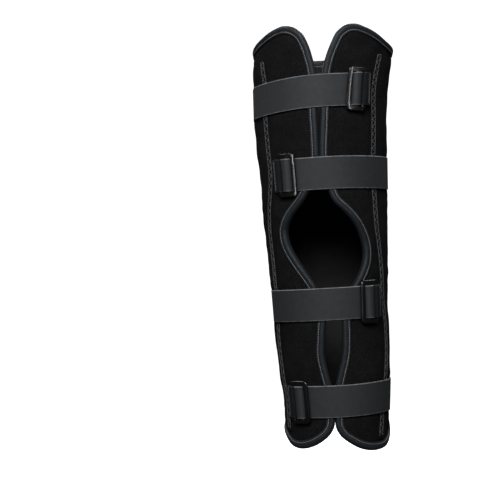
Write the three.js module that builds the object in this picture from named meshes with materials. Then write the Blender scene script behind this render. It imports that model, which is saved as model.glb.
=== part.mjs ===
// A knee immobilizer: a padded wrap that goes round the leg and is open down the front, bound with tape
// along its whole edge, with a stay channel down each side and four webbing straps held by slider rings.
// The brace keeps the shape that it has on a leg. Millimetres, +Z up, the front of the knee towards -Y,
// and the origin at the centre of the knee inside the hollow.
//
// A place on the brace has a turn, in degrees from the middle of the back and positive towards +X, a height
// above the knee, and a distance out from the outer face of the wrap.
import * as THREE from 'three';

// Driving sizes
const HEIGHT = 500;
const THIGH_WIDTH = 166;
const SHIN_WIDTH = 122;
const WALL = 6;
const CLEARANCE = 0.35;
const BINDING_WIDTH = 9.5;
const BINDING_THICK = 1;
const CHANNEL_WIDTH = 8.5;
const CHANNEL_THICK = 1;
const STRAP_WIDTH = 38;
const STRAP_THICK = 1.5;
const STRAP_SINK = 1;
const RING_RAIL = 5;
const RING_SLACK = 1;
const TAB_SLACK = 0.8;
const RING_THICK = 2.8;
const RING_EDGE = 0.8;
const RING_CORNER = 4;
const OUTER_BAR = 5.5;
const MIDDLE_BAR = 7.5;
const INNER_BAR = 4;
const STRAP_WINDOW = 3.5;
const TAB_CLOSES = 3;
const TAB_SEAM = 6;

// How finely curved faces are divided
const ROW_RISE = 18;
const ROW_ARC = 10.5;
const COLUMNS = 40;
const STRAP_STEP = 8;
const CHANNEL_STEP = 13;
const CURVE_STEPS = 8;
const BAR_SIDES = 4;
const MITER_LIMIT = 1.5;

// Leg sections from top to bottom. rise is a share of the height, width says how far the section is from the
// shin's width (0) to the thigh's (1), shift is a share of the thigh's width, and front and back are depths
// from the leg's axis as shares of the section's half width.
const SECTIONS = [
  { rise: 0.53, width: 1.0, shift: 0.053, front: 0.996, back: 1.046 },
  { rise: 0.444, width: 0.99, shift: 0.044, front: 0.999, back: 1.036 },
  { rise: 0.386, width: 0.96, shift: 0.022, front: 0.994, back: 1.031 },
  { rise: 0.31, width: 0.86, shift: 0.002, front: 1.009, back: 1.035 },
  { rise: 0.231, width: 0.77, shift: 0, front: 1.008, back: 1.008 },
  { rise: 0.116, width: 0.657, shift: 0, front: 1.0, back: 0.945 },
  { rise: 0, width: 0.526, shift: 0, front: 0.997, back: 0.915 },
  { rise: -0.116, width: 0.408, shift: 0, front: 0.99, back: 1.0 },
  { rise: -0.231, width: 0.325, shift: 0, front: 0.97, back: 1.085 },
  { rise: -0.31, width: 0.244, shift: 0.005, front: 0.966, back: 1.085 },
  { rise: -0.386, width: 0.12, shift: 0.006, front: 0.976, back: 1.055 },
  { rise: -0.463, width: 0.033, shift: 0, front: 0.972, back: 1.005 },
  { rise: -0.53, width: 0, shift: 0, front: 0.966, back: 0.983 },
];

// The two front edges of the bound wrap from the hem to the top lobes. Angles are degrees from the middle of
// the front, negative towards -X, and rises are shares of the height.
const FRONT_EDGES = [
  { leftAngle: -12.8, leftRise: -0.457, rightAngle: 1, rightRise: -0.4585 },
  { leftAngle: -6.9, leftRise: -0.438, rightAngle: -4, rightRise: -0.439 },
  { leftAngle: -5.4, leftRise: -0.415, rightAngle: -4.9, rightRise: -0.415 },
  { leftAngle: -5.4, leftRise: -0.36, rightAngle: -4.9, rightRise: -0.36 },
  { leftAngle: -8.4, leftRise: -0.324, rightAngle: -1, rightRise: -0.324 },
  { leftAngle: -12, leftRise: -0.269, rightAngle: 5.7, rightRise: -0.271 },
  { leftAngle: -10.1, leftRise: -0.223, rightAngle: 7.9, rightRise: -0.225 },
  { leftAngle: -8.5, leftRise: -0.174, rightAngle: 9, rightRise: -0.176 },
  { leftAngle: -12.5, leftRise: -0.124, rightAngle: 16.5, rightRise: -0.126 },
  { leftAngle: -20.7, leftRise: -0.087, rightAngle: 26.5, rightRise: -0.089 },
  { leftAngle: -33.8, leftRise: -0.041, rightAngle: 34, rightRise: -0.054 },
  { leftAngle: -42.5, leftRise: -0.004, rightAngle: 34.2, rightRise: -0.019 },
  { leftAngle: -43.8, leftRise: 0.026, rightAngle: 27.5, rightRise: 0.022 },
  { leftAngle: -36.5, leftRise: 0.056, rightAngle: 17.2, rightRise: 0.056 },
  { leftAngle: -24.2, leftRise: 0.088, rightAngle: 4.5, rightRise: 0.089 },
  { leftAngle: -14.5, leftRise: 0.124, rightAngle: 0, rightRise: 0.12 },
  { leftAngle: -7.4, leftRise: 0.165, rightAngle: -4.4, rightRise: 0.165 },
  { leftAngle: -5.8, leftRise: 0.193, rightAngle: -5.3, rightRise: 0.193 },
  { leftAngle: -5.5, leftRise: 0.223, rightAngle: -4.8, rightRise: 0.223 },
  { leftAngle: -5.5, leftRise: 0.289, rightAngle: -2.6, rightRise: 0.289 },
  { leftAngle: -7.3, leftRise: 0.385, rightAngle: -1.7, rightRise: 0.386 },
  { leftAngle: -11.5, leftRise: 0.424, rightAngle: 0.6, rightRise: 0.426 },
  { leftAngle: -20.5, leftRise: 0.479, rightAngle: 8.8, rightRise: 0.477 },
];

// The top edge from the left lobe round the back to the right lobe, and the hem the same way. Turns are
// degrees from the middle of the back, and rises are shares of the height.
const TOP_EDGE = [
  { turn: -151, rise: 0.4965 },
  { turn: -143, rise: 0.501 },
  { turn: -130, rise: 0.494 },
  { turn: -115, rise: 0.481 },
  { turn: -92, rise: 0.467 },
  { turn: -60, rise: 0.456 },
  { turn: 0, rise: 0.452 },
  { turn: 60, rise: 0.45 },
  { turn: 100, rise: 0.451 },
  { turn: 121, rise: 0.462 },
  { turn: 136, rise: 0.479 },
  { turn: 149, rise: 0.491 },
  { turn: 158, rise: 0.496 },
  { turn: 165, rise: 0.4905 },
];
const HEM_EDGE = [
  { turn: -155, rise: -0.475 },
  { turn: -142, rise: -0.485 },
  { turn: -129, rise: -0.488 },
  { turn: -116, rise: -0.483 },
  { turn: -101, rise: -0.466 },
  { turn: -80, rise: -0.448 },
  { turn: 0, rise: -0.442 },
  { turn: 75, rise: -0.451 },
  { turn: 98, rise: -0.476 },
  { turn: 114, rise: -0.495 },
  { turn: 132, rise: -0.5 },
  { turn: 148, rise: -0.4965 },
  { turn: 160, rise: -0.4875 },
  { turn: 171, rise: -0.473 },
];

// The stay channels from top to bottom: degrees from the middle of the front on each side
const CHANNEL_ROWS = [
  { rise: 0.43, left: 62, right: 51 },
  { rise: 0.37, left: 56, right: 48 },
  { rise: 0.28, left: 56.5, right: 48.5 },
  { rise: 0.15, left: 58, right: 47 },
  { rise: 0.04, left: 67, right: 49.5 },
  { rise: -0.05, left: 67, right: 56 },
  { rise: -0.15, left: 68, right: 61.5 },
  { rise: -0.25, left: 70, right: 65 },
  { rise: -0.34, left: 69.5, right: 60.5 },
  { rise: -0.4, left: 68.5, right: 56 },
  { rise: -0.5, left: 66, right: 51 },
];

// The straps from top to bottom: the height of the middle at the ring as a share of the height, how far past
// the middle of the front the ring starts, the way that the strap comes (-1 over the left side, +1 over the
// right), and how much lower it lies on the other side, as a share of its own width.
const STRAPS = [
  { rise: 0.344, ringAngle: 18.5, way: -1, fall: 0.16 },
  { rise: 0.1545, ringAngle: 26, way: 1, fall: 0.06 },
  { rise: -0.149, ringAngle: 26, way: -1, fall: 0.02 },
  { rise: -0.3765, ringAngle: 31, way: 1, fall: -0.03 },
];
// A strap is sewn on this many degrees past the middle of the back, and rises between these turns from the
// fabric to the level at which it clears the channels and the binding. The padding is pressed in this far
// from its middle, as a share of its width.
const STRAP_START = 9;
const LIFT_FROM = 70;
const LIFT_FULL = 100;
const DENT_REACH = 0.9;

// Heights of the middle of each layer out from the wrap: webbing that lies on the fabric, a strap that passes
// over the binding and the channels and under the ring, the ring itself, and webbing over one of its bars
const RAISED = CLEARANCE + Math.max(BINDING_THICK, CHANNEL_THICK);
const LAYER = STRAP_THICK + CLEARANCE;
const LOW_LEVEL = CLEARANCE + STRAP_THICK / 2;
const UNDER_LEVEL = RAISED + CLEARANCE + STRAP_THICK / 2;
const RING_LEVEL = UNDER_LEVEL + STRAP_THICK / 2 + CLEARANCE + RING_THICK / 2;
const BAR_REACH = RING_THICK / 2 + CLEARANCE + STRAP_THICK / 2;
const OVER_LEVEL = RING_LEVEL + BAR_REACH;

// Distances along the ring from its outer edge, which lies over the strap
const TAB_WINDOW = 2 * (LAYER + CLEARANCE) + CLEARANCE;
const MIDDLE_FROM = OUTER_BAR + STRAP_WINDOW;
const MIDDLE_TO = MIDDLE_FROM + MIDDLE_BAR;
const INNER_FROM = MIDDLE_TO + TAB_WINDOW;
const RING_LENGTH = INNER_FROM + INNER_BAR;
const RING_HEIGHT = STRAP_WIDTH + 2 * (RING_SLACK + RING_RAIL);

const radians = THREE.MathUtils.degToRad;
const degrees = THREE.MathUtils.radToDeg;

// Smooth value of one column of a table, whose key column rises or falls steadily
function lookup(table, keyName, key, column) {
  const falling = table[0][keyName] > table[table.length - 1][keyName];
  const rows = falling ? [...table].reverse() : table;
  const last = rows.length - 1;
  let index = 0;
  while (index < last - 1 && key > rows[index + 1][keyName]) index += 1;
  const slopeAt = (i) => {
    const low = rows[Math.max(i - 1, 0)];
    const high = rows[Math.min(i + 1, last)];
    return (high[column] - low[column]) / (high[keyName] - low[keyName]);
  };
  const start = rows[index];
  const end = rows[index + 1];
  const span = end[keyName] - start[keyName];
  const t = THREE.MathUtils.clamp((key - start[keyName]) / span, 0, 1);
  const rest = 1 - t;
  return start[column] * (1 + 2 * t) * rest * rest + end[column] * (1 + 2 * rest) * t * t
    + span * t * rest * (slopeAt(index) * rest - slopeAt(index + 1) * t);
}

// Half width, sideways shift and depths of the leg at a height
function legSection(height) {
  const rise = height / HEIGHT;
  const share = lookup(SECTIONS, 'rise', rise, 'width');
  const half = (SHIN_WIDTH + (THIGH_WIDTH - SHIN_WIDTH) * share) / 2;
  return {
    half,
    shift: THIGH_WIDTH * lookup(SECTIONS, 'rise', rise, 'shift'),
    front: half * lookup(SECTIONS, 'rise', rise, 'front'),
    back: half * lookup(SECTIONS, 'rise', rise, 'back'),
  };
}

// How deep the straps press into the padding at a height
function strapDent(height) {
  let dent = 0;
  for (const strap of STRAPS) {
    const away = Math.abs(height - strap.rise * HEIGHT) / (DENT_REACH * STRAP_WIDTH);
    if (away < 1) dent += STRAP_SINK * Math.cos((away * Math.PI) / 2) ** 2;
  }
  return dent;
}

// The point at a turn and height, a distance out from the outer face of the wrap
function onLeg(turn, height, out) {
  const { half, shift, front, back } = legSection(height);
  const angle = radians(turn);
  const depth = Math.cos(angle) > 0 ? back : front;
  const normal = new THREE.Vector2(Math.sin(angle) * depth, Math.cos(angle) * half).normalize();
  const away = out - strapDent(height);
  return new THREE.Vector3(
    shift + half * Math.sin(angle) + normal.x * away,
    depth * Math.cos(angle) + normal.y * away,
    height,
  );
}

// Millimetres round the leg for one degree of turn, at a distance out from the wrap
function millimetresPerDegree(turn, height, out = 0) {
  const { half, front, back } = legSection(height);
  const angle = radians(turn);
  const depth = Math.cos(angle) > 0 ? back : front;
  return radians(Math.hypot(half * Math.cos(angle), depth * Math.sin(angle)) + out);
}

// A mesh from points and faces, turned inside out if its faces point inwards
function solidMesh(name, points, faces, material) {
  let volume = 0;
  for (const [a, b, c] of faces) {
    volume += points[a].dot(new THREE.Vector3().crossVectors(points[b], points[c]));
  }
  const outward = volume > 0 ? faces : faces.map(([a, b, c]) => [a, c, b]);
  const geometry = new THREE.BufferGeometry().setFromPoints(points);
  geometry.setIndex(outward.flat());
  geometry.computeVertexNormals();
  const mesh = new THREE.Mesh(geometry, material);
  mesh.name = name;
  return mesh;
}

// A solid through equal closed sections, joined in a loop or closed by flat ends of four corners
function loft(name, sections, looped, material) {
  const size = sections[0].length;
  const faces = [];
  const joins = looped ? sections.length : sections.length - 1;
  for (let s = 0; s < joins; s += 1) {
    const here = s * size;
    const next = ((s + 1) % sections.length) * size;
    for (let p = 0; p < size; p += 1) {
      const q = (p + 1) % size;
      faces.push([here + p, here + q, next + q], [here + p, next + q, next + p]);
    }
  }
  if (!looped) {
    const end = (sections.length - 1) * size;
    faces.push([0, 2, 1], [0, 3, 2], [end, end + 1, end + 2], [end, end + 2, end + 3]);
  }
  return solidMesh(name, sections.flat(), faces, material);
}

const fabric = new THREE.MeshStandardMaterial({ color: '#17181a', roughness: 0.95, metalness: 0 });
const tape = new THREE.MeshStandardMaterial({ color: '#22262a', roughness: 0.75, metalness: 0 });
const webbing = new THREE.MeshStandardMaterial({ color: '#2e3136', roughness: 0.85, metalness: 0 });
const plastic = new THREE.MeshStandardMaterial({ color: '#101113', roughness: 0.3, metalness: 0 });

// The bound edge of the wrap is one smooth closed curve through the four tables. Its points hold a turn laid
// out as millimetres on the mean radius, and a height.
const MEAN_RADIUS = (THIGH_WIDTH + SHIN_WIDTH) / 4;
const flat = (turn, rise) => new THREE.Vector3(radians(turn) * MEAN_RADIUS, rise * HEIGHT, 0);
const leftKnots = FRONT_EDGES.map((row) => flat(-180 - row.leftAngle, row.leftRise));
const topKnots = TOP_EDGE.map((row) => flat(row.turn, row.rise));
const rightKnots = FRONT_EDGES.map((row) => flat(180 - row.rightAngle, row.rightRise)).reverse();
const hemKnots = HEM_EDGE.map((row) => flat(row.turn, row.rise)).reverse();
const outlineKnots = [...leftKnots, ...topKnots, ...rightKnots, ...hemKnots];
const outline = new THREE.CatmullRomCurve3(outlineKnots, true, 'centripetal');

// Points of the outline from one knot to another, in equal shares of each stretch between knots
function outlineStretch(fromKnot, toKnot, stepsOf) {
  const points = [];
  for (let knot = fromKnot; knot < toKnot; knot += 1) {
    const steps = stepsOf(knot);
    for (let s = 0; s < steps; s += 1) points.push(outline.getPoint((knot + s / steps) / outlineKnots.length));
  }
  points.push(outline.getPoint((toKnot / outlineKnots.length) % 1));
  return points;
}

// The same number of points spread by their first coordinate over a stretch that runs from side to side
function spreadAcross(points, count) {
  const from = points[0].x;
  const to = points[points.length - 1].x;
  return Array.from({ length: count + 1 }, (_, i) => {
    const x = from + ((to - from) * i) / count;
    const way = Math.sign(to - from);
    let k = 0;
    while (k < points.length - 2 && (points[k + 1].x - x) * way < 0) k += 1;
    const t = (x - points[k].x) / (points[k + 1].x - points[k].x);
    return points[k].clone().lerp(points[k + 1], t);
  });
}

const rowsBetween = FRONT_EDGES.slice(1).map((row, i) => {
  const below = FRONT_EDGES[i];
  const turn = Math.max(Math.abs(row.leftAngle - below.leftAngle), Math.abs(row.rightAngle - below.rightAngle));
  const rise = (row.leftRise - below.leftRise) * HEIGHT;
  return Math.max(Math.ceil((radians(turn) * MEAN_RADIUS) / ROW_ARC), Math.round(rise / ROW_RISE), 1);
});
const lastRow = FRONT_EDGES.length - 1;
const topLeft = lastRow;
const topRight = topLeft + TOP_EDGE.length + 1;
const hemRight = topRight + lastRow;
const hemLeft = outlineKnots.length;
const leftEdge = outlineStretch(0, topLeft, (knot) => rowsBetween[knot]);
const topEdge = spreadAcross(outlineStretch(topLeft, topRight, () => CURVE_STEPS), COLUMNS);
const rightEdge = outlineStretch(topRight, hemRight, (knot) => rowsBetween[hemRight - 1 - knot]).reverse();
const hemEdge = spreadAcross(outlineStretch(hemRight, hemLeft, () => CURVE_STEPS), COLUMNS).reverse();

// The closed outline as the binding follows it: up the left edge, over the top, down the right, along the hem
const boundLoop = [
  ...leftEdge,
  ...topEdge.slice(1),
  ...rightEdge.slice(0, -1).reverse(),
  ...hemEdge.slice(1, -1).reverse(),
];

// Where a flat outline point lies on the leg
const turnOf = (point) => degrees(point.x / MEAN_RADIUS);

// The place reached from point i of the loop by going inward over the fabric by a distance
function inwardFrom(i, distance) {
  const count = boundLoop.length;
  const before = boundLoop[(i + count - 1) % count];
  const after = boundLoop[(i + 1) % count];
  const here = boundLoop[i];
  const stretch = millimetresPerDegree(turnOf(here), here.y) / radians(MEAN_RADIUS);
  const along = new THREE.Vector2((after.x - before.x) * stretch, after.y - before.y).normalize();
  return new THREE.Vector3(here.x + (along.y * distance) / stretch, here.y - along.x * distance, 0);
}

// The wrap: a border as wide as the binding, and inside it a grid of rows and columns between its four
// edges. Both have an outer and an inner face, and a rim joins these along the edge.
function makeWrap() {
  const rim = boundLoop.map((_, i) => inwardFrom(i, BINDING_THICK + CLEARANCE));
  const loop = boundLoop.map((_, i) => inwardFrom(i, BINDING_WIDTH));
  const rows = leftEdge.length - 1;
  const left = loop.slice(0, rows + 1);
  const top = loop.slice(rows, rows + COLUMNS + 1);
  const right = loop.slice(rows + COLUMNS, 2 * rows + COLUMNS + 1).reverse();
  const hem = [...loop.slice(2 * rows + COLUMNS), loop[0]].reverse();

  const points = [];
  const index = (face, row, column) => (face * (rows + 1) + row) * (COLUMNS + 1) + column;
  const borderIndex = (i) => {
    const k = i % loop.length;
    if (k <= rows) return [k, 0];
    if (k <= rows + COLUMNS) return [rows, k - rows];
    if (k <= 2 * rows + COLUMNS) return [2 * rows + COLUMNS - k, COLUMNS];
    return [0, 2 * rows + 2 * COLUMNS - k];
  };
  for (const out of [0, -WALL]) {
    for (let row = 0; row <= rows; row += 1) {
      for (let column = 0; column <= COLUMNS; column += 1) {
        const u = column / COLUMNS;
        const v = row / rows;
        const sides = left[row].clone().lerp(right[row], u);
        const ends = hem[column].clone().lerp(top[column], v);
        const corners = hem[0].clone().lerp(hem[COLUMNS], u).lerp(top[0].clone().lerp(top[COLUMNS], u), v);
        const place = sides.add(ends).sub(corners);
        points.push(onLeg(turnOf(place), place.y, out));
      }
    }
  }

  const faces = [];
  const quad = (a, b, c, d) => faces.push([a, b, c], [a, c, d]);
  for (let row = 0; row < rows; row += 1) {
    for (let column = 0; column < COLUMNS; column += 1) {
      const corner = (face, up, over) => index(face, row + up, column + over);
      quad(corner(0, 0, 0), corner(0, 0, 1), corner(0, 1, 1), corner(0, 1, 0));
      quad(corner(1, 0, 0), corner(1, 1, 0), corner(1, 1, 1), corner(1, 0, 1));
    }
  }
  const rimStart = points.length;
  for (const out of [0, -WALL]) {
    for (const place of rim) points.push(onLeg(turnOf(place), place.y, out));
  }
  for (let i = 0; i < rim.length; i += 1) {
    const next = (i + 1) % rim.length;
    const [here, there] = [borderIndex(i), borderIndex(next)];
    const outer = [rimStart + i, rimStart + next];
    const inner = outer.map((point) => point + rim.length);
    quad(outer[0], index(0, ...here), index(0, ...there), outer[1]);
    quad(index(1, ...here), inner[0], inner[1], index(1, ...there));
    quad(outer[0], outer[1], inner[1], inner[0]);
  }
  return solidMesh('wrap', points, faces, fabric);
}

// The binding: a folded tape round the whole edge, with one leg on the outer face and one on the inner.
// Each corner of its section has a distance in from the bound edge and a distance out from the wrap.
function makeBinding() {
  const over = CLEARANCE + BINDING_THICK;
  const round = Math.min(BINDING_THICK, WALL / 4);
  const corners = [
    { inward: BINDING_WIDTH, out: over },
    { inward: round, out: over },
    { inward: 0, out: over - round - CLEARANCE },
    { inward: 0, out: round + CLEARANCE - WALL - over },
    { inward: round, out: -WALL - over },
    { inward: BINDING_WIDTH, out: -WALL - over },
    { inward: BINDING_WIDTH, out: -WALL - CLEARANCE },
    { inward: BINDING_THICK, out: -WALL - CLEARANCE },
    { inward: BINDING_THICK, out: CLEARANCE },
    { inward: BINDING_WIDTH, out: CLEARANCE },
  ];
  const sections = boundLoop.map((_, i) => corners.map((corner) => {
    const place = inwardFrom(i, corner.inward);
    return onLeg(turnOf(place), place.y, corner.out);
  }));
  return loft('edge_binding', sections, true, tape);
}

// Height of the bound hem at a turn
function hemHeight(turn) {
  const x = radians(turn) * MEAN_RADIUS;
  const k = Math.max(hemEdge.findIndex((point) => point.x > x), 1);
  const t = (x - hemEdge[k - 1].x) / (hemEdge[k].x - hemEdge[k - 1].x);
  return THREE.MathUtils.lerp(hemEdge[k - 1].y, hemEdge[k].y, t);
}

// A stay channel: a band on the outer face from a blunt tip below the top edge down to the binding at the hem
function makeChannel(name, column, side) {
  const turnAt = (height) => side * (180 - lookup(CHANNEL_ROWS, 'rise', height / HEIGHT, column));
  const top = CHANNEL_ROWS[0].rise * HEIGHT;
  const shoulder = top - CHANNEL_WIDTH / 3;
  let bottom = CHANNEL_ROWS[CHANNEL_ROWS.length - 1].rise * HEIGHT;
  for (let pass = 0; pass < 4; pass += 1) {
    const half = CHANNEL_WIDTH / millimetresPerDegree(turnAt(bottom), bottom);
    const edges = [-half, 0, half].map((aside) => hemHeight(turnAt(bottom) + aside));
    bottom = Math.max(...edges) + BINDING_WIDTH + 3 * CLEARANCE;
  }
  const steps = Math.ceil((top - bottom) / CHANNEL_STEP);
  const heights = [top];
  for (let i = 0; i <= steps; i += 1) heights.push(shoulder + ((bottom - shoulder) * i) / steps);
  const sections = heights.map((height, i) => {
    const half = (i === 0 ? CHANNEL_WIDTH / 4 : CHANNEL_WIDTH / 2) / millimetresPerDegree(turnAt(height), height);
    const [low, high] = [CLEARANCE, CLEARANCE + CHANNEL_THICK];
    return [[-half, low], [half, low], [half, high], [-half, high]]
      .map(([aside, out]) => onLeg(turnAt(height) + aside, height, out));
  });
  return loft(name, sections, false, fabric);
}

// A ribbon of webbing along a path of turns and distances out, with its thickness square to the path
function ribbon(name, path, heightAt, degreesPerMillimetre) {
  const middle = path.map(({ turn, out }) => new THREE.Vector2(turn / degreesPerMillimetre, out));
  const sections = middle.map((point, i) => {
    const into = middle[Math.max(i, 1)].clone().sub(middle[Math.max(i, 1) - 1]).normalize();
    const next = Math.min(i + 1, middle.length - 1);
    const from = middle[next].clone().sub(middle[next - 1]).normalize();
    const along = into.clone().add(from).normalize();
    const miter = 1 / Math.max(along.dot(into), 1 / MITER_LIMIT);
    const across = new THREE.Vector2(-along.y, along.x).multiplyScalar((STRAP_THICK / 2) * miter);
    const edges = [[1, 1], [1, -1], [-1, -1], [-1, 1]];
    return edges.map(([face, end]) => {
      const place = point.clone().addScaledVector(across, face);
      const turn = place.x * degreesPerMillimetre;
      return onLeg(turn, heightAt(path[i].turn) + (end * STRAP_WIDTH) / 2, place.y);
    });
  });
  return loft(name, sections, false, webbing);
}

// Half a turn of webbing round the edge of a ring's bar, the way that the edge faces, as a polygon whose
// sides keep the clearance to the bar
function roundBar(centre, way, fromAngle, toAngle) {
  const reach = BAR_REACH / Math.cos(Math.PI / (2 * BAR_SIDES));
  return Array.from({ length: BAR_SIDES }, (_, i) => {
    const angle = radians(fromAngle + ((toAngle - fromAngle) * (i + 0.5)) / BAR_SIDES);
    return { along: centre + way * reach * Math.cos(angle), out: RING_LEVEL + reach * Math.sin(angle) };
  });
}

// The ring in its own flat frame, bent to the leg afterwards: a rounded plate with two windows
function makeRing(name, place) {
  const half = RING_HEIGHT / 2;
  const corner = (shape, x, y, endX, endY) => shape.quadraticCurveTo(x, y, endX, endY);
  const plate = new THREE.Shape();
  plate.moveTo(RING_CORNER, -half);
  plate.lineTo(RING_LENGTH - RING_CORNER, -half);
  corner(plate, RING_LENGTH, -half, RING_LENGTH, -half + RING_CORNER);
  plate.lineTo(RING_LENGTH, half - RING_CORNER);
  corner(plate, RING_LENGTH, half, RING_LENGTH - RING_CORNER, half);
  plate.lineTo(RING_CORNER, half);
  corner(plate, 0, half, 0, half - RING_CORNER);
  plate.lineTo(0, -half + RING_CORNER);
  corner(plate, 0, -half, RING_CORNER, -half);
  const windows = [
    { from: OUTER_BAR, to: MIDDLE_FROM, inside: STRAP_WIDTH / 2 + RING_SLACK },
    { from: MIDDLE_TO, to: INNER_FROM, inside: STRAP_WIDTH / 2 + TAB_SLACK },
  ];
  for (const { from, to, inside } of windows) {
    const window = new THREE.Path();
    window.moveTo(from, -inside);
    window.lineTo(from, inside);
    window.lineTo(to, inside);
    window.lineTo(to, -inside);
    window.lineTo(from, -inside);
    plate.holes.push(window);
  }
  const geometry = new THREE.ExtrudeGeometry(plate, {
    depth: RING_THICK - 2 * RING_EDGE,
    bevelThickness: RING_EDGE,
    bevelSize: RING_EDGE,
    bevelOffset: -RING_EDGE,
    bevelSegments: 1,
    curveSegments: 3,
  });
  const spots = geometry.attributes.position;
  for (let i = 0; i < spots.count; i += 1) {
    const out = RING_LEVEL - RING_THICK / 2 + RING_EDGE + spots.getZ(i);
    const bent = onLeg(place.turnAt(spots.getX(i)), place.height + spots.getY(i), out);
    spots.setXYZ(i, bent.x, bent.y, bent.z);
  }
  if (place.way > 0) turnInsideOut(geometry);
  geometry.computeVertexNormals();
  const mesh = new THREE.Mesh(geometry, plastic);
  mesh.name = name;
  return mesh;
}

// A geometry without an index has its faces turned by swapping two corners of each
function turnInsideOut(geometry) {
  const spots = geometry.attributes.position;
  const [a, b] = [new THREE.Vector3(), new THREE.Vector3()];
  for (let i = 0; i < spots.count; i += 3) {
    a.fromBufferAttribute(spots, i + 1);
    b.fromBufferAttribute(spots, i + 2);
    spots.setXYZ(i + 1, b.x, b.y, b.z);
    spots.setXYZ(i + 2, a.x, a.y, a.z);
  }
}

// Where a strap's ring starts, and how distances along the ring turn into turns round the leg
function ringPlace(strap) {
  const height = strap.rise * HEIGHT;
  const start = strap.way * (180 + strap.ringAngle);
  const degreesPerMillimetre = 1 / millimetresPerDegree(start, height, RING_LEVEL);
  return {
    way: strap.way,
    height,
    start,
    degreesPerMillimetre,
    turnAt: (along) => start + strap.way * along * degreesPerMillimetre,
  };
}

// A strap: from its sewn end at the back round one side and the front, under the outer bar, over the middle
// bar and back beneath it to a short tail
function makeStrap(name, strap, place) {
  const liftAt = (turn) => {
    const full = THREE.MathUtils.smoothstep(Math.abs(turn), LIFT_FROM, LIFT_FULL);
    return THREE.MathUtils.lerp(LOW_LEVEL, UNDER_LEVEL, full);
  };
  const heightAt = (turn) => {
    const around = 1 - THREE.MathUtils.smoothstep(Math.abs(turn), 90, 180);
    return place.height - strap.fall * STRAP_WIDTH * around;
  };
  const approach = place.turnAt(-OUTER_BAR * 2);
  const first = -strap.way * STRAP_START;
  const steps = Math.ceil(Math.abs(approach - first) / STRAP_STEP);
  const path = Array.from({ length: steps + 1 }, (_, i) => {
    const turn = first + ((approach - first) * i) / steps;
    return { turn, out: liftAt(turn) };
  });
  const ramp = LAYER / 2;
  const threading = [
    { along: -OUTER_BAR / 2, out: UNDER_LEVEL },
    { along: OUTER_BAR, out: UNDER_LEVEL },
    { along: OUTER_BAR + ramp, out: UNDER_LEVEL + ramp },
    { along: MIDDLE_FROM - ramp, out: OVER_LEVEL - ramp },
    { along: MIDDLE_FROM, out: OVER_LEVEL },
    ...roundBar(MIDDLE_TO - RING_THICK / 2, 1, 90, -90),
    { along: MIDDLE_FROM + CLEARANCE, out: UNDER_LEVEL },
  ];
  for (const { along, out } of threading) path.push({ turn: place.turnAt(along), out });
  return ribbon(name, path, heightAt, place.degreesPerMillimetre);
}

// A tab: webbing folded round the inner bar, both layers sewn to the wrap beyond the ring
function makeTab(name, place) {
  const seamFrom = RING_LENGTH + TAB_CLOSES;
  const end = seamFrom + TAB_SEAM;
  const folding = [
    { along: end, out: LOW_LEVEL },
    { along: RING_LENGTH + LAYER, out: LOW_LEVEL },
    { along: RING_LENGTH - CLEARANCE, out: UNDER_LEVEL },
    ...roundBar(INNER_FROM + RING_THICK / 2, -1, -90, 90),
    { along: RING_LENGTH + CLEARANCE, out: OVER_LEVEL },
    { along: seamFrom, out: LOW_LEVEL + LAYER },
    { along: end, out: LOW_LEVEL + LAYER },
  ];
  const path = folding.map(({ along, out }) => ({ turn: place.turnAt(along), out }));
  return ribbon(name, path, () => place.height, place.degreesPerMillimetre);
}

const brace = new THREE.Group();
brace.add(makeWrap());
brace.add(makeBinding());
brace.add(makeChannel('stay_channel_left', 'left', -1));
brace.add(makeChannel('stay_channel_right', 'right', 1));
STRAPS.forEach((strap, i) => {
  const place = ringPlace(strap);
  brace.add(makeStrap(`strap_${i + 1}`, strap, place));
  brace.add(makeRing(`ring_${i + 1}`, place));
  brace.add(makeTab(`tab_${i + 1}`, place));
});

export default brace;
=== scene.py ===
# %% [markdown]
# # A knee immobilizer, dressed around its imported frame
#
# The real brace is a wrap of foam with black loop pile on it, bound with tape, stiffened
# by a stay down each side and closed by four webbing straps on plastic rings. The packed
# frame already holds each piece as a plain faceted solid at its real size and place.
# This lesson gives every one of them its finish: it reads the frame's own sections,
# makes finer meshes through them and adds the padding, the seams and the thread.

# %% Load the frame
import math

import bmesh
import bpy
import numpy as np
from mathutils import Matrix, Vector, kdtree, noise
from mathutils.bvhtree import BVHTree


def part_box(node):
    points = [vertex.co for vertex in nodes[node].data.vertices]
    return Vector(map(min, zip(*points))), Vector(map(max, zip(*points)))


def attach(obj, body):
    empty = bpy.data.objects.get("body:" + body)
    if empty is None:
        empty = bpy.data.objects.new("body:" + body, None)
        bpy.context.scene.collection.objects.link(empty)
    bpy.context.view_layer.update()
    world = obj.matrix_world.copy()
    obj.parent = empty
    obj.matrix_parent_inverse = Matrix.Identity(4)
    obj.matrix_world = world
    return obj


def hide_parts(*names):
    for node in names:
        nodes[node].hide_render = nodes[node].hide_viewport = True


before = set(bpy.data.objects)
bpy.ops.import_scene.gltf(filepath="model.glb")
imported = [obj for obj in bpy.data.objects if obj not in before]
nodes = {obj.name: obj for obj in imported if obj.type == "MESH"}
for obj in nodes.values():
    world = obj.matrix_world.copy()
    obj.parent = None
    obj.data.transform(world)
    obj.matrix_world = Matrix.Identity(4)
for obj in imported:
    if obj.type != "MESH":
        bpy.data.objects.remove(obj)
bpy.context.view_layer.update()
MM = 0.001

# %% [markdown]
# The picture to match was taken from the height of the knee, a little to one side of the
# brace and square to the room, so the camera is level and only rolled by the few degrees that
# the brace leans in it. A long lens keeps the sides parallel, as in a catalogue picture.

# %% Camera
CAMERA_PLACE = (-93.1 * MM, -1808 * MM, -6.9 * MM)
CAMERA_ROLL = math.radians(3.16)
CAMERA_LENS = 108.1

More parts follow.
